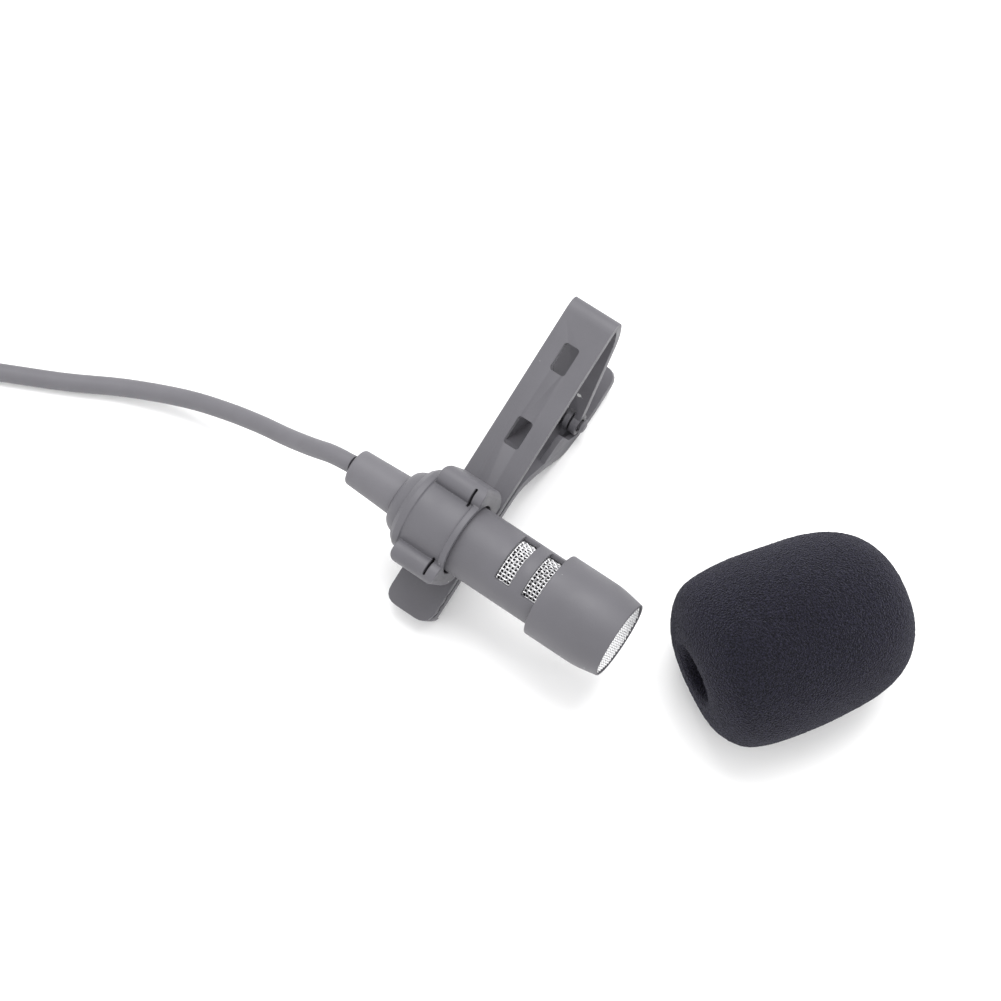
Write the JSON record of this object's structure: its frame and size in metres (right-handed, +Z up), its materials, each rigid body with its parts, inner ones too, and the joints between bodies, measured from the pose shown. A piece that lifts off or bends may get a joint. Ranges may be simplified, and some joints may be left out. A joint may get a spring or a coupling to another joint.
{
  "type": "lavalier microphone",
  "caption": "Clip-on lavalier microphone: turned metal body with sound windows on a swivelling spring clip, thin cord with jack plug, and a separate foam windscreen.",
  "frame": {"origin": "middle of the clip's heel, on the surface that the clip stands on", "axes": "+X along the microphone towards its nose, +Y along the clip towards its spring end, +Z up"},
  "size_m": [0.1802, 0.0658, 0.0226],
  "materials": {
    "grey_paint": "satin",
    "cord_jacket": "satin",
    "wire_mesh": "bright",
    "black_foam": "matt",
    "black_felt": "matt",
    "black_rubber": "matt",
    "bright_aluminium": "satin",
    "board_green": "satin",
    "red_insulation": "gloss",
    "black_plastic": "matt",
    "spring_steel": "bright",
    "gold_plate": "bright"
  },
  "bodies": {
    "microphone": {"barrel": "grey_paint", "port_mesh": "wire_mesh", "cap": "grey_paint", "front_mesh": "wire_mesh", "felt_disc": "black_felt", "capsule": "bright_aluminium", "capsule_boot": "black_rubber", "preamp_board": "board_green", "signal_lead": "red_insulation", "ground_lead": "black_plastic", "cord_clamp": "spring_steel", "cord_end": "cord_jacket", "strain_relief": "cord_jacket", "cord_run": "cord_jacket", "cord_coil": "cord_jacket", "coil_tie": "black_plastic", "cord_tail": "cord_jacket", "plug_relief": "cord_jacket", "plug_cover": "grey_paint", "plug_insulation": "black_plastic", "plug_sleeve": "gold_plate", "plug_ring_2": "gold_plate", "plug_ring_1": "gold_plate", "plug_tip": "gold_plate", "plug_cord_end": "cord_jacket"},
    "saddle": {"holder": "grey_paint", "swivel_rivet": "spring_steel"},
    "clip": {"upper_jaw": "grey_paint", "pivot_pin": "grey_paint", "clip_spring": "spring_steel"},
    "thumb_lever": {"lower_jaw": "grey_paint"},
    "windscreen": {"foam_windscreen": "black_foam"}
  },
  "joints": [
    {"name": "holder_turn", "type": "hinge", "parent": "microphone", "child": "saddle", "pos_m": [0, -0.0243, 0.0135], "axis": [1, 0, 0], "continuous": true},
    {"name": "clip_swivel", "type": "hinge", "parent": "saddle", "child": "clip", "pos_m": [0, -0.02209, 0.00803], "axis": [0, -0.3746, 0.9272], "range_deg": [-45, 45]},
    {"name": "jaw", "type": "hinge", "parent": "clip", "child": "thumb_lever", "pos_m": [0, 0.00025, 0.00293], "axis": [1, 0, 0], "range_deg": [0, 22], "stiffness_Nm_per_rad": 0.12, "springref_deg": -34.38, "deforming": ["clip_spring"]},
    {"name": "windscreen_slide", "type": "slide", "parent": "microphone", "child": "windscreen", "axis": [0.5314, 0.8471, 0], "range_m": [0, 0.025]}
  ]
}
